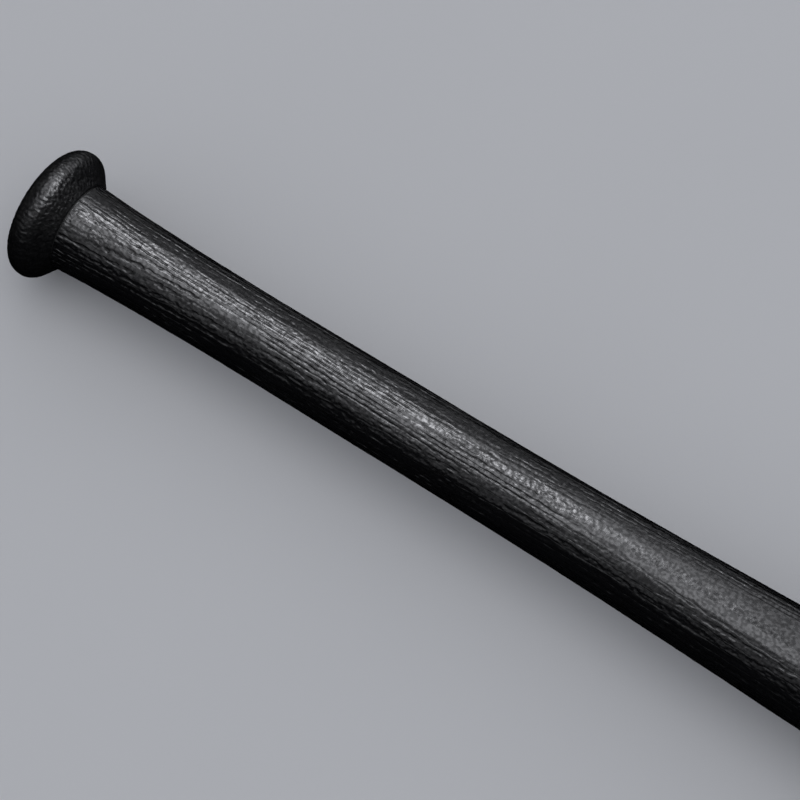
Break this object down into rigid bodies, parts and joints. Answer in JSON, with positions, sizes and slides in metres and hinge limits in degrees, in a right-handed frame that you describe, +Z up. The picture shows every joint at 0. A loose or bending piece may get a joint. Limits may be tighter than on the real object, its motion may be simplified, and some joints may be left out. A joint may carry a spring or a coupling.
{
  "type": "weighted swing trainer bat",
  "caption": "Full-length polymer bat with a round knob, moulded wood-grain skin, steel core tube and a damped weight stack in the barrel, for swing training.",
  "frame": {"origin": "centre of the knob's flat end face, on the bat's axis", "axes": "+X along the axis from the knob to the barrel end, +Z up with the bat lying level, +Y across"},
  "size_m": [0.864, 0.066, 0.066],
  "materials": {
    "body_polymer": "semi-gloss moulded polypropylene with a raised and pored wood grain",
    "cover_polymer": "fine spark-eroded matt polypropylene",
    "rubber": "moulded nitrile rubber",
    "steel": "turned, oiled",
    "tube_steel": "cold-drawn tube",
    "screw_steel": "bright zinc plated",
    "foam": "closed-cell polyurethane foam"
  },
  "bodies": {
    "root": {"grained_body": "body_polymer", "knob": "body_polymer", "knob_gasket": "rubber", "knob_dowels": "steel", "knob_screw": "screw_steel", "knob_washer": "screw_steel", "knob_screw_cover": "cover_polymer", "core_tube": "tube_steel", "knob_end_insert": "screw_steel", "weight_end_insert": "screw_steel", "weight_stop_ring": "steel", "weight_rear": "steel", "weight_middle": "steel", "weight_front": "steel", "weight_dampers": "rubber", "clamp_washer": "screw_steel", "clamp_screw": "screw_steel", "foam_fill": "foam", "barrel_end_plug": "cover_polymer", "end_plug_seal": "rubber"}
  },
  "joints": []
}
